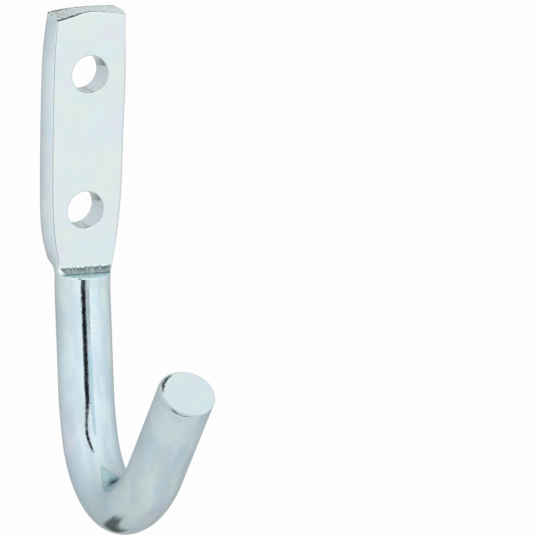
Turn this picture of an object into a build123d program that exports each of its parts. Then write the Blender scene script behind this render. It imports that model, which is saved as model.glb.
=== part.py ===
from build123d import *
from math import cos, hypot, radians, sin, sqrt
import os

# Screw hook: a round bar, one end pressed flat and drilled for two screws, the other bent up into a J.
# Origin: back face of the flat, midway between the screw holes. +Z up, -Y away from the wall.

# Bar and flat
ROD_D = 9.5
PLATE_T = 5.0
HOLE_D = 6.4
HOLE_SPACING = 23.4
HOLE_BREAK = 0.2

# Shoulder where the pressed flat ends, and how far under it the bar is round again
SHOULDER_Z = -22.6
SHOULDER_FILLET = 1.2
SHOULDER_DEPTH = 1.2

# Bend, from the round bar down: a heading is the angle turned outwards from straight down
NECK_R = 12.0
LEAN = 10.5
LEAN_LENGTH = 16.0
EASE_R = 39.5
EASE_ANGLE = 13.2
BEND_R = 13.4
BEND_ANGLE = 89.5
OPEN_R = 25.4
ARM_FROM_VERTICAL = 34.6
ARM_LENGTH = 20.0

# The hook stands slightly out of square with the flat
HOOK_TURN = 0.78

# Cropped tip: longer on the right, the edge rolled over on the left and sharp on the right
TIP_TILT = 3.0
TIP_ROLL_R = 1.3
TIP_ROLL_SIDE = 0.68
TIP_ROLL_RISE = 0.1

# Flat: height above the round bar, then half width at the front face and bulge of the side, left and right
FLAT_SECTIONS = [
    (49.8, 6.05, 0.06, 6.05, 0.66),
    (44.8, 6.20, 0.16, 6.06, 0.68),
    (39.8, 6.40, 0.84, 6.17, 0.88),
    (34.8, 6.40, 1.02, 6.28, 1.02),
    (29.8, 6.37, 1.03, 6.27, 1.03),
    (24.8, 6.26, 1.05, 6.20, 1.04),
    (19.8, 6.13, 1.08, 6.24, 1.04),
    (14.8, 5.95, 1.12, 6.20, 1.04),
    (10.3, 5.62, 1.22, 5.95, 1.06),
    (6.5, 5.16, 1.10, 5.62, 1.00),
    (3.2, 4.66, 0.50, 5.36, 0.66),
]

# Side of the flat, front to back: level as a share of the thickness, share of the bulge, inset.
# The first and last rows lie off the two faces, in metal that is pressed away.
SIDE_SHAPE = [
    (1.08, -0.17, 0.0),
    (0.78, 0.72, 0.0),
    (0.48, 1.0, 0.0),
    (0.22, 0.78, 0.0),
    (0.06, 0.22, 0.0),
    (-0.03, 0.0, 0.75),
]

# Sheared top end: highest level, then x with the drop at the front face and at the back
END_Z = 22.5
END_DROPS = [
    (-9.0, 2.1, 1.7),
    (-6.4, 1.55, 0.8),
    (-3.2, 0.75, 0.27),
    (-1.3, 0.15, 0.12),
    (0.4, 0.0, 0.05),
    (3.1, 0.3, 0.0),
    (6.2, 0.75, 0.1),
    (9.0, 1.1, 0.5),
]

ROD_R = ROD_D / 2
ROUND_Z = SHOULDER_Z - SHOULDER_DEPTH
OPEN_ANGLE = 180 - LEAN - EASE_ANGLE - BEND_ANGLE - ARM_FROM_VERTICAL

# Corners of the blank: its side starts at the seam, the rest is the front of the bar
SEAM_Y = -SIDE_SHAPE[0][0] * PLATE_T
CAP_Y = (3 * SEAM_Y - ROD_D) / 4
SIDE_Y = -0.3 * ROD_D
BACK_Y = -0.015 * ROD_D

# How far the cutting tools reach past the metal
CLEAR = 40
CROP_SPARE = 0.25


def on_rod(y):
    """Half width of the round bar at a level in Y."""
    return sqrt(ROD_R**2 - (y + ROD_R) ** 2)


def side(width, bulge):
    """Points down the right side of the blank, from its seam to the back."""
    return [(width + out * bulge - inset, -level * PLATE_T) for level, out, inset in SIDE_SHAPE]


def mirrored(points):
    """The same points on the left, in the opposite order."""
    return [(-x, y) for x, y in reversed(points)]


def flat_outline(left, left_bulge, right, right_bulge):
    """Draw the blank round the flat: front arc, right side, back and left side."""
    cap = (on_rod(CAP_Y), CAP_Y)
    start, finish = side(right, right_bulge), mirrored(side(left, left_bulge))
    ThreePointArc((-cap[0], CAP_Y), (0, -ROD_D), cap)
    Line(cap, start[0])
    Spline(*start)
    Line(start[-1], finish[0])
    Spline(*finish)
    Line(finish[-1], (-cap[0], CAP_Y))


def round_outline():
    """Draw the bar's circle with the same corners."""
    start = [(on_rod(y), y) for y in (CAP_Y, (CAP_Y + SEAM_Y) / 2, SEAM_Y, SIDE_Y, BACK_Y)]
    finish = mirrored(start)
    ThreePointArc(finish[-1], (0, -ROD_D), start[0])
    ThreePointArc(*start[:3])
    ThreePointArc(*start[2:])
    ThreePointArc(start[-1], (0, 0), finish[0])
    ThreePointArc(*finish[:3])
    ThreePointArc(*finish[2:])


def place(out, up):
    """Point in the hook's own plane, out from the bar's axis under the flat."""
    return (-out * sin(radians(HOOK_TURN)), -ROD_R - out * cos(radians(HOOK_TURN)), up)


def ahead(point, heading, length):
    """End of a straight run in the hook's own plane."""
    return (point[0] + length * sin(radians(heading)), point[1] - length * cos(radians(heading)))


def turned(point, heading, r, angle):
    """Middle and end of an arc in the hook's own plane."""
    a, m, b = (radians(v) for v in (heading, heading + angle / 2, heading + angle))
    return [(point[0] + r * (cos(a) - cos(v)), point[1] + r * (sin(a) - sin(v))) for v in (m, b)]


# Axis of the round bar
with BuildLine() as axis:
    here, heading = (0, ROUND_Z), 0
    for r, angle, straight in (
        (NECK_R, LEAN, LEAN_LENGTH),
        (EASE_R, EASE_ANGLE, 0),
        (BEND_R, BEND_ANGLE, 0),
        (OPEN_R, OPEN_ANGLE, ARM_LENGTH + TIP_ROLL_R),
    ):
        middle, end = turned(here, heading, r, angle)
        ThreePointArc(place(*here), place(*middle), place(*end))
        here, heading = end, heading + angle
        if straight:
            end = ahead(here, heading, straight)
            Line(place(*here), place(*end))
            here = end
    tip = Vector(*place(*ahead(here, heading, -TIP_ROLL_R)))

# What the crop takes away at the tip: all beyond its face, and the rolled edge
arm = Vector(*place(*ahead((0, 0), heading, 1))) - Vector(*place(0, 0))
across = Vector(cos(radians(HOOK_TURN)), -sin(radians(HOOK_TURN)), 0)
under = across.cross(arm)
face_normal = arm * cos(radians(TIP_TILT)) - across * sin(radians(TIP_TILT))
face_centre = tip + across * TIP_ROLL_SIDE - under * TIP_ROLL_RISE
with BuildPart() as crop:
    with BuildSketch(Plane(origin=face_centre, x_dir=face_normal.cross(under), z_dir=under)):
        with BuildLine():
            outer = ROD_R + hypot(TIP_ROLL_SIDE, TIP_ROLL_RISE) + CROP_SPARE
            inner = outer - TIP_ROLL_R
            swing = TIP_ROLL_R * cos(radians(45))
            Line((0, 0), (inner, 0))
            ThreePointArc((inner, 0), (inner + swing, swing - TIP_ROLL_R), (outer, -TIP_ROLL_R))
            Polyline((outer, -TIP_ROLL_R), (ROD_D, -TIP_ROLL_R), (ROD_D, ROD_D), (0, ROD_D), (0, 0))
        make_face()
    revolve(axis=Axis(face_centre, face_normal))

with BuildPart() as hook:
    # Blank of the flat, blending into the round bar
    for height, *widths in FLAT_SECTIONS:
        with BuildSketch(Plane.XY.offset(ROUND_Z + height)):
            with BuildLine():
                flat_outline(*widths)
            make_face()
    with BuildSketch(Plane.XY.offset(ROUND_Z)):
        with BuildLine():
            round_outline()
        make_face()
    loft()

    # Round bar
    with BuildSketch(Plane.XY.offset(ROUND_Z)):
        with Locations((0, -ROD_R)):
            Circle(ROD_R)
    sweep(path=axis.line)

    # Press: leaves the front face, the fillet at its foot and the half-moon shoulder
    with BuildSketch(Plane.YZ):
        with BuildLine():
            front, foot = -PLATE_T - SHOULDER_FILLET, SHOULDER_Z + SHOULDER_FILLET
            swing = SHOULDER_FILLET * cos(radians(45))
            Line((-PLATE_T, CLEAR), (-PLATE_T, foot))
            ThreePointArc((-PLATE_T, foot), (front + swing, foot - swing), (front, SHOULDER_Z))
            Polyline((front, SHOULDER_Z), (-CLEAR, SHOULDER_Z), (-CLEAR, CLEAR), (-PLATE_T, CLEAR))
        make_face()
    extrude(amount=ROD_D, both=True, mode=Mode.SUBTRACT)

    # Anvil: leaves the back face
    with BuildSketch(Plane.XY.offset(ROUND_Z)):
        with Locations((0, ROD_R)):
            Rectangle(CLEAR, ROD_D)
    extrude(amount=2 * CLEAR, mode=Mode.SUBTRACT)

    # Sheared top end, carried straight on past both faces
    for level in (-0.2, 1.2):
        with BuildSketch(Plane.XZ.offset((1 - level) * PLATE_T)):
            with BuildLine():
                edge = [(x, END_Z - front - (back - front) * level) for x, front, back in END_DROPS]
                Spline(*edge)
                Polyline(edge[-1], (edge[-1][0], CLEAR), (edge[0][0], CLEAR), edge[0])
            make_face()
    loft(ruled=True, mode=Mode.SUBTRACT)

    # Screw holes, their edges broken on the front
    with BuildSketch(Plane.XZ):
        with Locations((0, HOLE_SPACING / 2), (0, -HOLE_SPACING / 2)):
            Circle(HOLE_D / 2)
    extrude(amount=ROD_D, both=True, mode=Mode.SUBTRACT)
    rims = hook.edges().filter_by(GeomType.CIRCLE).filter_by(lambda e: abs(e.radius - HOLE_D / 2) < HOLE_BREAK)
    chamfer(rims.group_by(Axis.Y)[0], HOLE_BREAK)

    add(crop.part, mode=Mode.SUBTRACT)

hook.part.label = "hook"
os.makedirs("parts", exist_ok=True)
export_step(hook.part, "parts/hook.step")
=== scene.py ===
import math

import bmesh
import bpy
import numpy as np
from mathutils import Matrix, Vector, noise
from mathutils.bvhtree import BVHTree
from mathutils.geometry import delaunay_2d_cdt


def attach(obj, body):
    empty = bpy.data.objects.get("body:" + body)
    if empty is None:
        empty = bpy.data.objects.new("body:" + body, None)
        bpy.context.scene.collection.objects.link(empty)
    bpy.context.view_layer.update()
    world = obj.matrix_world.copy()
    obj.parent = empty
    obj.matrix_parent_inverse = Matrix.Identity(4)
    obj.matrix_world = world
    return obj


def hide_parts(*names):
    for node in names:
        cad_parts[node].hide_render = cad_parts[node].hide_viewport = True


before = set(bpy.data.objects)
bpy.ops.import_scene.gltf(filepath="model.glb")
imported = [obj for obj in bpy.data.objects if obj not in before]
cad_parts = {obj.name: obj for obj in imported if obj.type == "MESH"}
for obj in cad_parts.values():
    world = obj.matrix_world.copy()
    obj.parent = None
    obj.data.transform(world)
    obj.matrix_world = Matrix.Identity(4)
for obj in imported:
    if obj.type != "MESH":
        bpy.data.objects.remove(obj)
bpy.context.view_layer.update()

# Sizes of the hook are in millimetres, the scene itself is in metres
MM = 0.001

# Camera at the photograph's viewing angle
IMAGE_SIZE = 536
FOCAL_PIXELS = 4711.9
SENSOR = 36.0
CAMERA_PLACE = Vector((-0.3082, -0.7197, 0.1689))
CAMERA_RIGHT = Vector((0.9052, -0.4230, 0.0421))
CAMERA_UP = Vector((0.0632, 0.2318, 0.9707))
CLIP_NEAR = 0.01
CLIP_FAR = 50

# Floor, in metres: its level, its side, its paint, and the share of pure white that the camera sees in it
FLOOR_Z = -0.098
FLOOR_SIZE = 6.0
FLOOR_PAINT = (0.95, 0.95, 0.95, 1)
FLOOR_GLOW = 0.9

# Flat, shoulder and screw holes
ROD_R = 4.75
PLATE_T = 5.0
SHOULDER_Z = -22.6
SHOULDER_FILLET = 1.2
FOOT_Z = SHOULDER_Z + SHOULDER_FILLET
ROUND_Z = -23.8
HOLE_R = 3.2
HOLE_BREAK = 0.2
HOLE_CENTRES = (11.7, -11.7)

# Bends of the bar from the flat down: radius, turn in degrees, straight run after it
BENDS = ((12.0, 10.5, 16.0), (39.5, 13.2, 0.0), (13.4, 89.5, 0.0), (25.4, 32.2, 0.0))
ARM_LENGTH = 20.0

# The hook stands slightly out of square with the flat: its turn, and the direction to its right
HOOK_TURN = math.radians(0.78)
RIGHT = Vector((math.cos(HOOK_TURN), -math.sin(HOOK_TURN), 0))

# Cropped tip: slant of its face, rolled edge, shift of the crop's middle, and radius of the level face
TIP_TILT = math.radians(3.0)
TIP_ROLL_R = 1.3
TIP_ROLL_SIDE = 0.68
TIP_ROLL_RISE = 0.1
CROP_SPARE = 0.25
TIP_FACE_R = ROD_R + math.hypot(TIP_ROLL_SIDE, TIP_ROLL_RISE) + CROP_SPARE - TIP_ROLL_R

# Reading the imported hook: the stretch where the sides are followed, where the rays start,
# how far inside an edge they aim, and the curves fitted to what they find
NECK_Z = -20.6
TOP_Z = 20.3
RAY_SIDE = 20
RAY_TOP = 40
FACE_MARGIN = 0.003
END_MARGIN = 0.03
FIT_HEIGHTS = 180
FIT_DEGREE = 11

# Angles round the bar where the flat's sides end, from its back, and from its front at the shoulder;
# half the shoulder's width; and the power by which the bar's front widens towards that end
BACK_ANGLE = math.radians(17)
FRONT_ANGLE = math.acos(1 - (2 * ROD_R - PLATE_T - SHOULDER_FILLET) / ROD_R)
SHOULDER_HALF = ROD_R * math.sin(FRONT_ANGLE)
ARC_WIDENING = 4

# How many steps each stretch of the outline has
SIDE_STEPS = 24
FRONT_STEPS = 56
BACK_STEPS = 8
END_STEPS = 64
FILLET_STEPS = 8
SHOULDER_STEPS = 5
HOLE_STEPS = 96
RIM_STEPS = 4
WALL_STEPS = 11

# Rows of points down the flat's sides: the level that the end is read from, the rows between it
# and the first level one, and the distance from one to the next
END_LEVEL = 22.0
END_SHARES = (0.1, 0.4, 0.7)
FIRST_LEVEL = 20.4
LEVEL_STEP = 0.6

# Points inside the flat's two faces: a row close along each edge, then an even grid
INSET = 0.17
INSET_KEEP = 0.85
FACE_X = (-5.2, 5.3)
FACE_Z = (-20.8, 21.5)
FACE_STEP = 0.65
FACE_CLEAR = 0.5
FILL_MERGE = 1e-6

# Rows of points along the bar: the longest step and widest turn in degrees in a bend, and the step along
# a straight run. Then the shares of the way across the shoulder, from the fillet to its outer edge.
BEND_STEP = 0.3
BEND_TURN = 1.2
BAR_STEP = 0.4
NEAR_EDGE = (0.0, 0.04, 0.13, 0.26, 0.4, 0.55, 0.7, 0.84, 0.95, 1.0)

# Rings of the tip's face: over the rolled edge, then towards its middle
ROLL_RADII = (ROD_R, ROD_R - 0.12, *np.linspace(ROD_R - 0.3, 3.3, 7))
FACE_RADII = np.arange(2.9, 0.2, -0.4)
CROP_ROUNDS = 12

# Points closer than this are joined, and shorter edges than this are taken out
JOIN_GAP = 0.002
TINY_EDGE = 0.0005

# Rounding of every edge that turns by more than the angle; sharper turns count as the sharpest
EDGE_ANGLE = math.radians(28)
EDGE_SHARPEST = 1.8
EDGE_RADIUS = 0.16

# Sheared end: waves of its grain and its tears along X, along Y and through the noise; the grain's
# dimension, lacunarity and octaves, and its height
GRAIN_WAVE = (1.6, 0.9, 3.1)
TEAR_WAVE = (0.45, 0.3, 8.4)
GRAIN_FRACTAL = (0.7, 2.2, 4)
GRAIN_HEIGHT = 0.07

# Groove behind the sheared end's front edge, and how far from the back and front its marks fade out
GROOVE_DEPTH = 0.1
GROOVE_PLACE = 0.45
GROOVE_WANDER = 0.2
GROOVE_WIDTH = 0.16
GROOVE_STRENGTH = 0.6
FADE_BACK = 0.5
FADE_FRONT = 0.25

# Surfaces of the hook, which are also its material slots
SIDES, SHEARED, PRESSED, LEDGE, FRONT, BACK, HOLES, BAR, CROPPED = range(9)

# White tent: its brightness all round, and what is added in front, above and to the right
TENT_LIGHT = 0.82
TENT_FRONT = 0.16
TENT_ABOVE = 0.14
TENT_RIGHT = -0.035

# Slot in the tent, in degrees: its two ends, the softness of its sides and ends, and the colour in it
SLOT_HEIGHTS = (-34.0, 63.0)
SLOT_SOFT = (1.5, 5.0)
SLOT_CAST = (0.55, 0.75, 1, 1)

# While the height goes from the first number to the second, the azimuth of the slot's side, or its depth
# as a share, goes from the third to the fourth
SLOT_LEFT = (11.0, 25.0, -29.0, -43.0)
SLOT_RIGHT = (12.0, 24.0, -11.0, -30.0)
SLOT_DEPTH = (-15.0, 6.0, 0.9, 0.985)

# Other dark patches: azimuths, heights and the softness of both in degrees, and depth as a share
VEIL = ((-16.0, 3.0), (-30.0, 11.0), (1.5, 3.0), 0.36)
SEAM = ((0.5, 4.0), (-9.0, 11.0), (0.8, 3.0), 0.5)
BEHIND_BELOW = ((-15.0, 30.0), (-51.0, -37.0), (3.0, 2.5), 0.8)

WHITE = (1, 1, 1, 1)

# Zinc of the bar, and its tint at a grazing angle
ZINC = (0.81, 0.92, 0.97)
GRAZING = (0.76, 0.78, 0.78, 1)

# Faint tints in the plating, and the streaks along the bar
STRAW = (0.98, 1.0, 0.945, 1)
BLUE = (0.96, 0.98, 1.0, 1)
AQUA = (0.93, 1.0, 1.0, 1)
LILAC = (0.98, 0.96, 1.0, 1)
STREAK = (0.68, 0.76, 0.86, 1)

# Clouds over the straw tint: colour, width in millimetres, detail, distortion, and the levels of noise
# where a cloud starts and where it is full
CLOUDS = (
    (BLUE, 4.5, 2.0, 0.0, 0.38, 0.62),
    (AQUA, 2.6, 2.0, 0.6, 0.45, 0.62),
    (LILAC, 3.3, 1.0, 0.0, 0.58, 0.7),
)

# Tones of dull and of torn metal, also used as painted shade and painted reflections
STAIN_AND_SHADE = (0.05, 0.1, 0.125, 1)
SOOT_AND_SHADE = (0.03, 0.04, 0.045, 1)

# Painted shade in the throat, darkening the zinc where other metal is near: how far off other metal counts,
# and the openness at which the shade is full and none
THROAT_SHADE_REACH = 16.0
THROAT_SHADE_FULL = 0.66
THROAT_SHADE_NONE = 0.97

# Uneven gloss, as shares of a material's roughness
GLOSS_LOW = 0.75
GLOSS_HIGH = 1.35


def clamp(value, low, high):
    return min(max(value, low), high)


def ease(share):
    """From 0 to 1 with a soft start and end."""
    return 3 * share**2 - 2 * share**3


def down_neck(z):
    """0 where the neck starts and 1 where the bar is round."""
    return (NECK_Z - z) / (NECK_Z - ROUND_Z)


def between(start, end, shares):
    """Points at shares of the way from start to end."""
    start, end = np.array(start), np.array(end)
    return [tuple(start + (end - start) * share) for share in shares]


class Blank:
    """Reads the flat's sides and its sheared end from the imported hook."""

    def __init__(self, node):
        self.tree = BVHTree.FromObject(node, bpy.context.evaluated_depsgraph_get())
        self.levels = -PLATE_T * np.linspace(0, 1, SIDE_STEPS + 1)
        heights = np.linspace(NECK_Z, TOP_Z, FIT_HEIGHTS)
        self.fits = {1: [], -1: []}
        for side, fits in self.fits.items():
            for level in self.levels:
                y = clamp(level, FACE_MARGIN - PLATE_T, -FACE_MARGIN)
                x = [side * self.cast((side * RAY_SIDE, y, z), (-side, 0, 0))[0] for z in heights]
                fit = np.polynomial.Chebyshev.fit(heights, x, FIT_DEGREE)
                fits.append((fit, fit.deriv()))

    def cast(self, start, way):
        return self.tree.ray_cast(Vector(start) * MM, Vector(way))[0] / MM

    def half(self, side, z, y):
        """Half width of the blank at a height and a level in Y, and how fast it changes with height."""
        clipped = min(z, TOP_Z)
        slope = [rate(clipped) for _, rate in self.fits[side]]
        value = [fit(clipped) + rate * (z - clipped) for (fit, _), rate in zip(self.fits[side], slope)]
        if y < -PLATE_T:
            share = (-PLATE_T - y) / SHOULDER_FILLET
            return value[-1] * (1 - share) + SHOULDER_HALF * share, slope[-1] * (1 - share)
        return np.interp(-y, -self.levels, value), np.interp(-y, -self.levels, slope)

    def top(self, x, y):
        """Height of the sheared end."""
        return self.cast((x, clamp(y, END_MARGIN - PLATE_T, -END_MARGIN), RAY_TOP), (0, 0, -1))[2]

    def side(self, side, z, front):
        """Points of one side at a height, from the back to the level given, turning round down the neck."""
        points = []
        front_angle = math.acos((front + ROD_R) / ROD_R)
        s = down_neck(z)
        for t in np.linspace(0, 1, SIDE_STEPS + 1):
            y = t * front
            x, slope = self.half(side, max(z, NECK_Z), y)
            if s > 0:
                angle = BACK_ANGLE + (front_angle - BACK_ANGLE) * t
                end = np.array([ROD_R * math.sin(angle), ROD_R * math.cos(angle) - ROD_R])
                start, rate = np.array([x, y]), np.array([slope, 0]) * (ROUND_Z - NECK_Z)
                x, y = start * (1 - ease(s)) + rate * (s**3 - 2 * s**2 + s) + end * ease(s)
            points.append((side * x, y, z))
        return points


# Steps round the front of the bar, from right to left, and along a straight row
ARC = [FRONT_ANGLE * (1 - 2 * i / FRONT_STEPS) for i in range(FRONT_STEPS + 1)]
ARC_SHARES = [(math.sin(a) / math.sin(FRONT_ANGLE) + 1) / 2 for a in ARC]
BACK_SHARES = [i / BACK_STEPS for i in range(BACK_STEPS + 1)]


def front_arc(z, right, left):
    """Front of the bar from right to left, widened at its ends to meet the sides."""
    points = []
    for a in ARC:
        gap = abs((right if a > 0 else left)[0]) - SHOULDER_HALF
        share = abs(math.sin(a) / math.sin(FRONT_ANGLE)) ** ARC_WIDENING
        points.append((ROD_R * math.sin(a) + math.copysign(gap * share, a), -ROD_R * (1 + math.cos(a)), z))
    points[0], points[-1] = right, left
    return points


def back_row(left, right, z):
    """Back of the neck from left to right, flat at its top and round at the bar."""
    share = ease(max(0, down_neck(z)))
    row = []
    for t, (x, y, _) in zip(BACK_SHARES, between(left, right, BACK_SHARES)):
        a = BACK_ANGLE * (2 * t - 1)
        slide = ROD_R * (math.sin(a) - (2 * t - 1) * math.sin(BACK_ANGLE))
        row.append((x + slide * share, y + ROD_R * (math.cos(a) - math.cos(BACK_ANGLE)) * share, z))
    row[0], row[-1] = left, right
    return row


def inside(polygon, point, margin):
    """True where the point is in the polygon and the margin away from its corners."""
    x, z = point
    a, b = polygon, np.roll(polygon, -1, axis=0)
    hit = (a[:, 1] > z) != (b[:, 1] > z)
    cut = a[hit, 0] + (z - a[hit, 1]) / (b[hit, 1] - a[hit, 1]) * (b[hit, 0] - a[hit, 0])
    return (cut > x).sum() % 2 == 1 and np.hypot(polygon[:, 0] - x, polygon[:, 1] - z).min() >= margin


def clear_of_holes(point, radius):
    return all(math.hypot(point[0], point[1] - c) > radius for c in HOLE_CENTRES)


def inset_row(polygon):
    """Points close along the inside of an outline, without those that crowd its corners."""
    ahead, behind = np.roll(polygon, -1, axis=0), np.roll(polygon, 1, axis=0)
    way = (ahead - behind) / np.linalg.norm(ahead - behind, axis=1)[:, None]
    area = (polygon[:, 0] * ahead[:, 1] - polygon[:, 1] * ahead[:, 0]).sum()
    inwards = math.copysign(1, area) * np.stack([-way[:, 1], way[:, 0]], axis=1)
    return [tuple(p) for p in polygon + INSET * inwards if inside(polygon, p, INSET_KEEP * INSET)]


def circle(radius, centre_z):
    turns = np.linspace(0, 2 * math.pi, HOLE_STEPS, endpoint=False)
    return [(radius * math.cos(a), centre_z + radius * math.sin(a)) for a in turns]


def loop(first, count):
    """Edges of a closed loop of points, by their numbers."""
    return [(first + i, first + (i + 1) % count) for i in range(count)]


class Net:
    """Collects patches of points and joins them into one mesh."""

    def __init__(self):
        self.bm = bmesh.new()

    def face(self, verts, surface):
        face = self.bm.faces.new(verts)
        face.material_index = surface
        face.smooth = True

    def grid(self, rows, surface):
        verts = [[self.bm.verts.new(Vector(p) * MM) for p in row] for row in rows]
        for a, b in zip(verts, verts[1:]):
            for i in range(len(a) - 1):
                self.face((a[i], a[i + 1], b[i + 1], b[i]), surface)

    def flat(self, outline, y, surface):
        """Fill a face in XZ that has both screw holes in it."""
        rim = HOLE_R + HOLE_BREAK
        points = [(p[0], p[2]) for p in outline]
        polygon = np.array(points)
        edges = loop(0, len(points))
        points += inset_row(polygon)
        for c in HOLE_CENTRES:
            edges += loop(len(points), HOLE_STEPS)
            points += circle(rim, c) + circle(rim + INSET, c)
        grid = [(x, z) for x in np.arange(*FACE_X, FACE_STEP) for z in np.arange(*FACE_Z, FACE_STEP)]
        points += [p for p in grid if clear_of_holes(p, rim + FACE_CLEAR) and inside(polygon, p, FACE_CLEAR)]

        # The filling covers the whole hull: what lies outside the outline or in a hole is left out
        corners, _, triangles = delaunay_2d_cdt([Vector(p) for p in points], edges, [], 0, FILL_MERGE)[:3]
        verts = [self.bm.verts.new(Vector((p[0], y, p[1])) * MM) for p in corners]
        for triangle in triangles:
            middle = np.mean([corners[i] for i in triangle], axis=0)
            if inside(polygon, middle, 0) and clear_of_holes(middle, rim):
                self.face([verts[i] for i in triangle], surface)


def side_rows(blank, side):
    """Rows of points down one side of the flat, from its sheared end to its foot."""
    levels = [*np.arange(FIRST_LEVEL, NECK_Z + LEVEL_STEP / 2, -LEVEL_STEP)]
    levels += [NECK_Z, (NECK_Z + FOOT_Z) / 2, FOOT_Z]
    rows = [blank.side(side, z, -PLATE_T) for z in levels]
    top = [(x, y, blank.top(x - side * END_MARGIN, y)) for x, y, _ in blank.side(side, END_LEVEL, -PLATE_T)]
    upper = [[(p[0] + (q[0] - p[0]) * share, p[1], p[2] + (q[2] - p[2]) * share)
              for p, q in zip(top, rows[0])] for share in END_SHARES]
    return [top, *upper, *rows]


def end_rows(blank, left_top, right_top):
    """Rows of points across the sheared end from left to right, from its back to its front."""
    rows = []
    for left, right in zip(left_top, right_top):
        low, high = left[0] + END_MARGIN, right[0] - END_MARGIN
        points = between(left, right, np.linspace(0, 1, END_STEPS + 1))
        row = [(x, y, blank.top(clamp(x, low, high), y)) for x, y, _ in points]
        row[0], row[-1] = left, right
        rows.append(row)
    return rows


def fillet_rows(blank):
    """Right side, left side and front of each level of the fillet at the foot of the flat."""
    rows = []
    for a in np.linspace(0, math.pi / 2, FILLET_STEPS + 1):
        z = FOOT_Z - SHOULDER_FILLET * math.sin(a)
        y = -PLATE_T - SHOULDER_FILLET * (1 - math.cos(a))
        right, left = blank.side(1, z, y), blank.side(-1, z, y)
        rows.append((right, left, between(left[-1], right[-1], ARC_SHARES)))
    return rows


def flat_patches(net, blank):
    """The flat: its sides, sheared end, fillet, half-moon shoulder, the back of its neck and its faces."""
    right, left = side_rows(blank, 1), side_rows(blank, -1)
    end = end_rows(blank, left[0], right[0])
    fillet = fillet_rows(blank)
    net.grid(right, SIDES)
    net.grid(left, SIDES)
    net.grid(end, SHEARED)
    for side, surface in ((2, PRESSED), (0, SIDES), (1, SIDES)):
        net.grid([row[side] for row in fillet], surface)

    lowest_right, lowest_left, chord = fillet[-1]
    rim = front_arc(SHOULDER_Z, lowest_right[-1], lowest_left[-1])
    net.grid([between(a, b, NEAR_EDGE) for a, b in zip(chord, rim)], LEDGE)

    # The neck starts at the third last of the rows; the fillet goes on from the last
    neck = len(right) - 3
    flanks = list(zip(left[neck:], right[neck:])) + [(row[1], row[0]) for row in fillet[1:]]
    back = [back_row(a[0], b[0], b[0][2]) for a, b in flanks]
    net.grid(back, BAR)

    front_outline = end[-1] + [row[-1] for row in right[1:]] + fillet[0][2][1:]
    front_outline += [row[-1] for row in left[-2:0:-1]]
    net.flat(front_outline, -PLATE_T, FRONT)
    back_outline = end[0] + [row[0] for row in right[1:neck + 1]] + back[0][-2::-1]
    back_outline += [row[0] for row in left[neck - 1:0:-1]]
    net.flat(back_outline, 0, BACK)


def hole_patches(net):
    """Walls of the screw holes, with rounded rims."""
    rounding = [(HOLE_R + HOLE_BREAK * (1 - math.sin(a)), HOLE_BREAK * (1 - math.cos(a)))
                for a in np.linspace(0, math.pi / 2, RIM_STEPS + 1)]
    depths = [(r, d - PLATE_T) for r, d in rounding]
    depths += [(HOLE_R, y) for y in np.linspace(HOLE_BREAK - PLATE_T, -HOLE_BREAK, WALL_STEPS + 1)[1:-1]]
    depths += [(r, -d) for r, d in reversed(rounding)]
    turns = np.linspace(0, 2 * math.pi, HOLE_STEPS + 1)
    for c in HOLE_CENTRES:
        rings = [[(r * math.cos(a), y, c + r * math.sin(a)) for a in turns] for r, y in depths]
        net.grid(rings[:RIM_STEPS], FRONT)
        net.grid(rings[RIM_STEPS - 1:1 - RIM_STEPS], HOLES)
        net.grid(rings[-RIM_STEPS:], BACK)


def place(out, up):
    """Point in the hook's own plane, out from the bar's axis under the flat."""
    return Vector((-out * math.sin(HOOK_TURN), -ROD_R - out * math.cos(HOOK_TURN), up))


def around(ring, angle, radius=ROD_R):
    """Point at an angle round the bar, measured from its front towards the right."""
    out, up, heading = ring
    front = place(math.cos(heading), math.sin(heading)) - place(0, 0)
    way = front * math.cos(angle + HOOK_TURN) + RIGHT * math.sin(angle + HOOK_TURN)
    return place(out, up) + way * float(radius)


def axis_rings():
    """Place and heading of each ring along the bar, and of the one where the arm starts."""
    rings = []
    out, up, heading = 0.0, ROUND_Z, 0.0
    for radius, turn, straight in BENDS:
        turn = math.radians(turn)
        steps = round(max(radius * turn / BEND_STEP, math.degrees(turn) / BEND_TURN))
        centre = (out + radius * math.cos(heading), up + radius * math.sin(heading))
        for a in np.linspace(heading, heading + turn, steps + 1):
            rings.append((centre[0] - radius * math.cos(a), centre[1] - radius * math.sin(a), a))
        out, up, heading = rings.pop()
        for d in np.arange(0, straight, BAR_STEP):
            rings.append((out + d * math.sin(heading), up - d * math.cos(heading), heading))
        out += straight * math.sin(heading)
        up -= straight * math.cos(heading)
    return rings, (out, up, heading)


def tip_frame(start):
    """Middle of the tip's face, the direction of the arm, and the one square to it on the arm's underside."""
    out, up, heading = start
    arm = place(math.sin(heading), -math.cos(heading)) - place(0, 0)
    under = RIGHT.cross(arm)
    centre = place(out, up) + arm * ARM_LENGTH + RIGHT * TIP_ROLL_SIDE - under * TIP_ROLL_RISE
    return centre, arm, under


def cut_point(start, angle, radius):
    """Point where the tip's face or its rolled edge cuts a line along the arm."""
    centre, arm, _ = tip_frame(start)
    normal = arm * math.cos(TIP_TILT) - RIGHT * math.sin(TIP_TILT)
    point = around(start, angle, radius) + arm * ARM_LENGTH
    for _ in range(CROP_ROUNDS):
        off = point - centre
        height = off.dot(normal)
        over = clamp((off - normal * height).length - TIP_FACE_R, 0, TIP_ROLL_R)
        drop = TIP_ROLL_R - math.sqrt(TIP_ROLL_R**2 - over**2)
        point -= arm * (height + drop) / arm.dot(normal)
    return point


def bar_angles():
    """Angles of the points round the bar: right flank, front, left flank and back."""
    flank = np.linspace(math.pi - BACK_ANGLE, FRONT_ANGLE, SIDE_STEPS + 1)
    behind = np.linspace(BACK_ANGLE - math.pi, -BACK_ANGLE - math.pi, BACK_STEPS + 1)
    return [*flank, *ARC[1:], *-flank[-2::-1], *behind[1:]]


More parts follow.
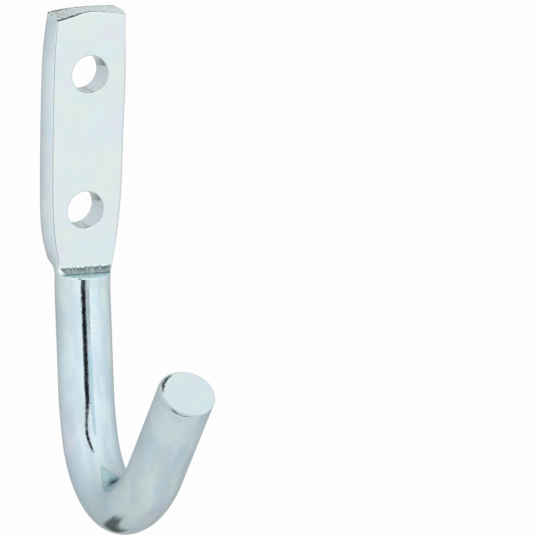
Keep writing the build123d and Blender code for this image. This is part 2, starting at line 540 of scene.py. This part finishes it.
def shoulder_rows(blank):
    """Rows round the bar from the shoulder to where it is round."""
    rows = []
    for z in np.linspace(SHOULDER_Z, ROUND_Z, SHOULDER_STEPS + 1)[:-1]:
        right, left = (blank.side(side, z, -PLATE_T - SHOULDER_FILLET) for side in (1, -1))
        front, back = front_arc(z, right[-1], left[-1]), back_row(left[0], right[0], z)
        rows.append(right + front[1:] + left[-2::-1] + back[1:])
    return rows


def bar_patches(net, blank):
    """The round bar from the shoulder to the cropped tip."""
    angles = bar_angles()
    rings, start = axis_rings()
    first, last = [around(start, a) for a in angles], [cut_point(start, a, ROD_R) for a in angles]
    shares = [*np.linspace(0, 1, round(ARM_LENGTH / BAR_STEP), endpoint=False), 1 - INSET / ARM_LENGTH, 1]
    rows = shoulder_rows(blank) + [[around(ring, a) for a in angles] for ring in rings]
    rows += [[p.lerp(q, share) for p, q in zip(first, last)] for share in shares]
    net.grid(rows, BAR)
    face = [[cut_point(start, a, radius) for a in angles] for radius in (*ROLL_RADII, *FACE_RADII)]
    net.grid(face + [[cut_point(start, 0, 0)] * len(angles)], CROPPED)


def soften_edges(bm):
    """Round off the sharp edges a little, by moving their points towards the inside."""
    bm.normal_update()
    moves = {}
    for vert in bm.verts:
        turn = max(edge.calc_face_angle(0) for edge in vert.link_edges if len(edge.link_faces) == 2)
        if turn > EDGE_ANGLE:
            depth = EDGE_RADIUS * (1 / math.cos(min(turn, EDGE_SHARPEST) / 2) - 1)
            moves[vert] = vert.normal * depth * MM
    for vert, move in moves.items():
        vert.co -= move


def shear_marks(bm):
    """Give the sheared end its torn grain and the lip along its front edge."""
    for vert in bm.verts:
        if not all(face.material_index == SHEARED for face in vert.link_faces):
            continue
        x, y, _ = vert.co / MM
        fade = clamp(min(-y / FADE_BACK, (PLATE_T + y) / FADE_FRONT), 0, 1)
        grain_place, tear_place = (Vector((x * wave[0], y * wave[1], wave[2]))
                                   for wave in (GRAIN_WAVE, TEAR_WAVE))
        grain = noise.fractal(grain_place, *GRAIN_FRACTAL)
        tear = noise.noise(tear_place)
        off = y + PLATE_T - GROOVE_PLACE - GROOVE_WANDER * tear
        groove = math.exp(-((off / GROOVE_WIDTH) ** 2)) * (GROOVE_STRENGTH + tear)
        vert.co.z += (GRAIN_HEIGHT * grain - GROOVE_DEPTH * groove) * fade * MM


def hook_piece(node):
    net = Net()
    blank = Blank(node)
    flat_patches(net, blank)
    hole_patches(net)
    bar_patches(net, blank)
    bm = net.bm
    bmesh.ops.remove_doubles(bm, verts=bm.verts, dist=JOIN_GAP * MM)
    bmesh.ops.dissolve_degenerate(bm, edges=bm.edges, dist=TINY_EDGE * MM)
    bmesh.ops.recalc_face_normals(bm, faces=bm.faces)
    shear_marks(bm)
    soften_edges(bm)
    mesh = bpy.data.meshes.new("screw_hook")
    bm.to_mesh(mesh)
    bm.free()
    piece = bpy.data.objects.new("screw_hook", mesh)
    bpy.context.scene.collection.objects.link(piece)
    return piece


class Nodes:
    """Short calls for building a node tree. Values can be numbers or sockets."""

    def __init__(self, tree):
        self.tree = tree
        tree.nodes.clear()

    def feed(self, socket, value):
        if isinstance(value, bpy.types.NodeSocket):
            self.tree.links.new(value, socket)
        else:
            socket.default_value = value

    def add(self, kind, inputs=None, **settings):
        node = self.tree.nodes.new(kind)
        for key, value in settings.items():
            setattr(node, key, value)
        for key, value in (inputs or {}).items():
            self.feed(node.inputs[key], value)
        return node

    def math(self, operation, *values):
        return self.add("ShaderNodeMath", dict(enumerate(values)), operation=operation).outputs[0]

    def chain(self, operation, first, *others):
        """The same operation with one value after another."""
        for value in others:
            first = self.math(operation, first, value)
        return first

    def times(self, *values):
        return self.chain("MULTIPLY", *values)

    def total(self, *values):
        return self.chain("ADD", *values)

    def distance(self, first, second):
        return self.math("ABSOLUTE", self.math("SUBTRACT", first, second))

    def ramp(self, value, low, high, start=0.0, end=1.0):
        """Ease from one value to another while the input goes from low to high."""
        inputs = {"Value": value, "From Min": low, "From Max": high, "To Min": start, "To Max": end}
        return self.add("ShaderNodeMapRange", inputs, interpolation_type="SMOOTHSTEP").outputs[0]

    def band(self, value, low, high, soft):
        """1 between low and high, with soft ends."""
        rise = self.ramp(value, self.math("SUBTRACT", low, soft), self.math("ADD", low, soft))
        fall = self.ramp(value, self.math("SUBTRACT", high, soft), self.math("ADD", high, soft), 1.0, 0.0)
        return self.times(rise, fall)

    def patch(self, azimuth, height, sides, ends, soft):
        """1 in a patch of the sky between two azimuths and two heights."""
        return self.times(self.band(azimuth, *sides, soft[0]), self.band(height, *ends, soft[1]))

    def grain(self, size, detail=2.0, roughness=0.5, stretch=(1, 1, 1), distortion=0.0):
        """Noise whose features have a size in millimetres."""
        where = self.add("ShaderNodeTexCoord").outputs["Object"]
        mapped = self.add("ShaderNodeMapping", {"Vector": where, "Scale": stretch}).outputs[0]
        inputs = {"Vector": mapped, "Scale": 1 / (size * MM), "Detail": detail, "Roughness": roughness,
                  "Distortion": distortion}
        return self.add("ShaderNodeTexNoise", inputs).outputs["Fac"]

    def stray(self, value, grain, reach):
        """Move a value to and fro with a grain."""
        return self.math("MULTIPLY_ADD", self.math("SUBTRACT", grain, 0.5), reach, value)

    def blend(self, share, first, second, mode="MIX"):
        """Mix two colours, by the sockets that the Mix node keeps for colours."""
        node = self.add("ShaderNodeMix", data_type="RGBA", blend_type=mode)
        for socket, value in zip((node.inputs[0], node.inputs[6], node.inputs[7]), (share, first, second)):
            self.feed(socket, value)
        return node.outputs[2]

    def along(self, vector, way):
        """How far a vector goes in a direction."""
        return self.add("ShaderNodeVectorMath", {0: vector, 1: way}, operation="DOT_PRODUCT").outputs["Value"]

    def split(self, vector):
        return self.add("ShaderNodeSeparateXYZ", {0: vector}).outputs

    def spot(self):
        """Place on the hook in millimetres."""
        where = self.add("ShaderNodeTexCoord").outputs["Object"]
        return self.add("ShaderNodeVectorMath", {0: where, "Scale": 1 / MM}, operation="SCALE").outputs[0]


def make_camera():
    right = CAMERA_RIGHT.normalized()
    back = right.cross(CAMERA_UP).normalized()
    data = bpy.data.cameras.new("camera")
    data.sensor_width = SENSOR
    data.sensor_fit = "HORIZONTAL"
    data.lens = FOCAL_PIXELS / IMAGE_SIZE * SENSOR
    data.clip_start = CLIP_NEAR
    data.clip_end = CLIP_FAR
    camera = bpy.data.objects.new("camera", data)
    rotation = Matrix((right, back.cross(right), back)).transposed().to_4x4()
    camera.matrix_world = Matrix.Translation(CAMERA_PLACE) @ rotation
    bpy.context.scene.collection.objects.link(camera)
    bpy.context.scene.camera = camera


def tent_light(nodes, way):
    """Brightness of the tent in a direction, and the share of it that the slot for the camera takes."""
    x, y, z = nodes.split(way)
    front = nodes.math("MULTIPLY", y, -1.0)
    left = nodes.math("MULTIPLY", x, -1.0)
    azimuth = nodes.math("DEGREES", nodes.math("ARCTAN2", x, front))
    behind = nodes.math("DEGREES", nodes.math("ARCTAN2", left, y))
    height = nodes.math("DEGREES", nodes.math("ARCSINE", z))

    tent = TENT_LIGHT
    for part, gain in ((front, TENT_FRONT), (z, TENT_ABOVE), (x, TENT_RIGHT)):
        tent = nodes.math("MULTIPLY_ADD", part, gain, tent)

    sides = [nodes.ramp(height, *side) for side in (SLOT_LEFT, SLOT_RIGHT)]
    slot = nodes.patch(azimuth, height, sides, SLOT_HEIGHTS, SLOT_SOFT)
    slot = nodes.times(slot, nodes.ramp(height, *SLOT_DEPTH))
    shades = [(slot, 1.0)]
    for turn, (*limits, depth) in ((azimuth, VEIL), (azimuth, SEAM), (behind, BEHIND_BELOW)):
        shades.append((nodes.patch(turn, height, *limits), depth))
    for shade, depth in shades:
        tent = nodes.times(tent, nodes.math("MULTIPLY_ADD", shade, -depth, 1.0))
    return tent, slot


def make_world():
    """A white tent with dark patches, which the camera itself sees as plain white."""
    world = bpy.data.worlds.new("studio")
    bpy.context.scene.world = world
    world.use_nodes = True
    nodes = Nodes(world.node_tree)
    tent, slot = tent_light(nodes, nodes.add("ShaderNodeTexCoord").outputs["Generated"])
    cast = nodes.blend(slot, WHITE, SLOT_CAST)
    lit = nodes.add("ShaderNodeBackground", {"Color": cast, "Strength": tent})
    seen = nodes.add("ShaderNodeBackground", {"Color": WHITE, "Strength": 1.0})
    path = nodes.add("ShaderNodeLightPath").outputs["Is Camera Ray"]
    mix = nodes.add("ShaderNodeMixShader", {0: path, 1: lit.outputs[0], 2: seen.outputs[0]})
    nodes.add("ShaderNodeOutputWorld", {"Surface": mix.outputs[0]})


def make_floor():
    """A white floor that keeps the hook's shadow and isn't mirrored in the zinc."""
    mesh = bpy.data.meshes.new("floor")
    half = FLOOR_SIZE / 2
    corners = [(-half, -half, 0), (half, -half, 0), (half, half, 0), (-half, half, 0)]
    mesh.from_pydata(corners, [], [(0, 1, 2, 3)])
    floor = bpy.data.objects.new("floor", mesh)
    floor.location.z = FLOOR_Z
    bpy.context.scene.collection.objects.link(floor)
    material = bpy.data.materials.new("floor_white")
    material.use_nodes = True
    nodes = Nodes(material.node_tree)
    path = nodes.add("ShaderNodeLightPath").outputs["Is Camera Ray"]
    paint = nodes.add("ShaderNodeBsdfDiffuse", {"Color": FLOOR_PAINT})
    glow = nodes.add("ShaderNodeEmission", {"Color": WHITE, "Strength": 1.0})
    share = nodes.times(path, FLOOR_GLOW)
    mix = nodes.add("ShaderNodeMixShader", {0: share, 1: paint.outputs[0], 2: glow.outputs[0]})
    nodes.add("ShaderNodeOutputMaterial", {"Surface": mix.outputs[0]})
    mesh.materials.append(material)
    floor.visible_glossy = False


def clouded(nodes, colour, clouding, size, stretch):
    """A colour with faint clouds of straw, blue, aqua and lilac in it."""
    tint = STRAW
    for cloud, width, detail, distortion, start, full in CLOUDS:
        grain = nodes.grain(width * size, detail, stretch=stretch, distortion=distortion)
        tint = nodes.blend(nodes.ramp(grain, start, full), tint, cloud)
    return nodes.blend(clouding, (*colour, 1), tint, "MULTIPLY")


def zinc(name, colour, roughness, bump, clouding, size=1.0, stretch=(1, 1, 1), streaks=0.0, grazing=WHITE,
         marks=None, throat_shade=0.0):
    """Bright zinc plating: a pale metal with faint clouds of colour, fine grain and uneven gloss.

    Bump lists the width and height of each grain in millimetres. Marks are a function for the share
    of metal that they cover, which holds real marks as well as painted shade and reflections, and their
    tone. Throat shade is the share of painted shade in the throat, where other metal is near.
    """
    material = bpy.data.materials.new(name)
    material.use_nodes = True
    nodes = Nodes(material.node_tree)
    base = clouded(nodes, colour, clouding, size, stretch)
    if streaks:
        streak = nodes.ramp(nodes.grain(1.9, 2.0, 0.5, stretch, 0.3), 0.36, 0.64)
        base = nodes.blend(nodes.times(streak, streaks), base, STREAK, "MULTIPLY")
    if marks:
        cover, tone = marks
        base = nodes.blend(cover(nodes), base, tone)
    # Painted shade: darker where ambient occlusion finds other metal near, as in the hook's throat
    if throat_shade:
        reach = {"Distance": THROAT_SHADE_REACH * MM}
        openness = nodes.add("ShaderNodeAmbientOcclusion", reach, samples=8).outputs["AO"]
        base = nodes.blend(nodes.ramp(openness, THROAT_SHADE_FULL, THROAT_SHADE_NONE, throat_shade, 0.0), base, STAIN_AND_SHADE)
    gloss = nodes.ramp(nodes.grain(0.9, 3.0, 0.6), 0.35, 0.7, roughness * GLOSS_LOW, roughness * GLOSS_HIGH)
    inputs = {"Base Color": base, "Roughness": gloss, "Metallic": 1.0, "Specular Tint": grazing}
    for width, height in bump:
        relief = {"Height": nodes.grain(width, 3.0, 0.6), "Distance": height * MM, "Strength": 1.0}
        if "Normal" in inputs:
            relief["Normal"] = inputs["Normal"]
        inputs["Normal"] = nodes.add("ShaderNodeBump", relief).outputs[0]
    shader = nodes.add("ShaderNodeBsdfPrincipled", inputs)
    nodes.add("ShaderNodeOutputMaterial", {"Surface": shader.outputs[0]})
    return material


# Marks on the metal, with painted shade and reflections among them: each function gives the share that they
# cover, from sizes in millimetres
def press_marks_and_shade(nodes):
    """Dark hatching left by the press on the fillet, over a painted reflection that darkens the whole band,
    most at its top; ragged above and cut off aslant at the left.
    """
    x, _, z = nodes.split(nodes.spot())
    hatch = nodes.grain(0.2, 3.0, 0.75, stretch=(1, 0.1, 0.1))
    under_top = nodes.ramp(nodes.stray(z, hatch, 1.3), FOOT_Z - 0.3, FOOT_Z - 0.12, 1.0, 0.0)
    aslant = nodes.math("MULTIPLY_ADD", nodes.math("SUBTRACT", z, FOOT_Z), 0.85, x)
    past_corner = nodes.ramp(aslant, -4.75, -4.45)
    # Painted reflection: the band is dark all over and darker towards its top, the hatching only varies it
    lines = nodes.ramp(hatch, 0.38, 0.58, 0.66, 1.0)
    paler_below = nodes.ramp(z, FOOT_Z - 1.2, FOOT_Z - 0.4, 0.7, 0.95)
    return nodes.times(under_top, past_corner, lines, paler_below)


def torn_flecks_and_edge_shade(nodes):
    """Dark flecks on the sheared end, closest along its edges and towards the left, with painted shade along
    its front edge.
    """
    x, y, _ = nodes.split(nodes.spot())
    speck = nodes.grain(0.3, 4.0, 0.8)
    wander = nodes.stray(y, nodes.grain(1.1, 3.0, 0.65), 0.9)
    thin_right = nodes.total(wander, nodes.ramp(x, -1.5, 2.0, 0.0, 0.4))
    # Painted shade along the front edge, thinning to the right
    front = nodes.ramp(thin_right, 0.25 - PLATE_T, 0.8 - PLATE_T, 0.45, 0.0)
    rear = nodes.ramp(wander, -0.9, -0.2, 0.0, 0.34)
    left = nodes.ramp(x, -5.0, 2.0, 0.05, -0.07)
    return nodes.ramp(nodes.total(speck, front, rear, left), 0.5, 0.68, 0.0, 0.92)


def painted_hole_reflections(nodes):
    """Painted reflections in each hole's wall: a dark streak high on the right, rising to the front, and a
    thin one low down.
    """
    x, y, z = nodes.split(nodes.spot())
    streaks = nodes.times(nodes.grain(0.4, 2.0, 0.6, stretch=(0.4, 0.25, 1)), 0.8)
    sloped = nodes.math("MULTIPLY_ADD", y, 0.22, z)
    on_right = nodes.ramp(x, 1.2, 2.4)
    darker_in_front = nodes.ramp(y, -PLATE_T, -0.8, 1.0, 0.3)
    marks = []
    for c in HOLE_CENTRES:
        # Painted reflection: dark streak high on the right of the wall, and a thin one low down
        high = nodes.ramp(nodes.total(nodes.distance(sloped, c + 0.95), streaks), 0.75, 1.25, 1.0, 0.0)
        low = nodes.ramp(nodes.total(nodes.distance(z, c - 3.1), streaks), 0.35, 0.6, 0.5, 0.0)
        marks += [nodes.times(high, on_right, darker_in_front), low]
    return nodes.times(nodes.chain("MAXIMUM", *marks), 0.85)


def painted_tip_shade(nodes):
    """Painted shade on the roll round the tip's face, and a painted reflection of a dark patch as a ragged
    dark arc at its upper left.
    """
    centre, _, under = tip_frame(axis_rings()[1])
    off = nodes.add("ShaderNodeVectorMath", {0: nodes.spot(), 1: centre}, operation="SUBTRACT").outputs[0]
    left, above = nodes.along(off, -RIGHT), nodes.along(off, -under)
    radius = nodes.math("SQRT", nodes.math("MULTIPLY_ADD", left, left, nodes.times(above, above)))
    angle = nodes.math("DEGREES", nodes.math("ARCTAN2", above, left))
    # Painted shade: the roll is darker than the face
    roll = nodes.ramp(radius, TIP_FACE_R, TIP_FACE_R + 0.5, 0.0, 0.3)
    # Painted reflection: a ragged dark arc at the upper left of the roll
    ragged_radius = nodes.stray(radius, nodes.grain(0.5, 4.0, 0.8), 1.1)
    upper_left = nodes.band(angle, 12.0, 62.0, 9.0)
    edge = nodes.band(ragged_radius, TIP_FACE_R - 0.1, TIP_FACE_R + 0.36, 0.07)
    return nodes.math("MAXIMUM", roll, nodes.times(upper_left, edge, 0.93))


def zinc_materials():
    """One material for each kind of surface, in the order of the surface numbers."""
    drawn = {"stretch": (1, 0.22, 0.22), "grazing": GRAZING}
    bar = zinc("zinc_bar", ZINC, 0.1, ((0.9, 0.01), (0.35, 0.012)), 1.0, streaks=0.5, throat_shade=0.95, **drawn)
    side = zinc("zinc_side", (0.86, 0.92, 0.98), 0.2, ((0.8, 0.006),), 1.0, streaks=0.25, **drawn)
    sheared = zinc("zinc_sheared", (0.84, 0.93, 0.94), 0.3, ((0.35, 0.02),), 1.0, marks=(torn_flecks_and_edge_shade, SOOT_AND_SHADE))
    pressed = zinc("zinc_pressed", (0.9, 1.0, 1.0), 0.2, ((0.3, 0.01),), 0.2, marks=(press_marks_and_shade, STAIN_AND_SHADE))
    ledge = zinc("zinc_ledge", (0.72, 0.9, 0.95), 0.36, ((0.4, 0.006),), 0.4)
    flat = zinc("zinc_flat", (0.84, 0.9, 0.925), 0.2, ((1.2, 0.003),), 1.0, size=1.7)
    drilled = zinc("zinc_drilled", (0.76, 0.84, 0.89), 0.14, ((0.5, 0.008),), 0.9, marks=(painted_hole_reflections, SOOT_AND_SHADE))
    cropped = zinc("zinc_cropped", (0.74, 0.84, 0.88), 0.24, ((1.0, 0.003),), 0.9, marks=(painted_tip_shade, SOOT_AND_SHADE))
    return [side, sheared, pressed, ledge, flat, flat, drilled, bar, cropped]


bpy.context.scene.view_settings.view_transform = "Standard"
make_camera()
make_world()
make_floor()

hook = hook_piece(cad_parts["hook"])
for material in zinc_materials():
    hook.data.materials.append(material)
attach(hook, "root")
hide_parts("hook")
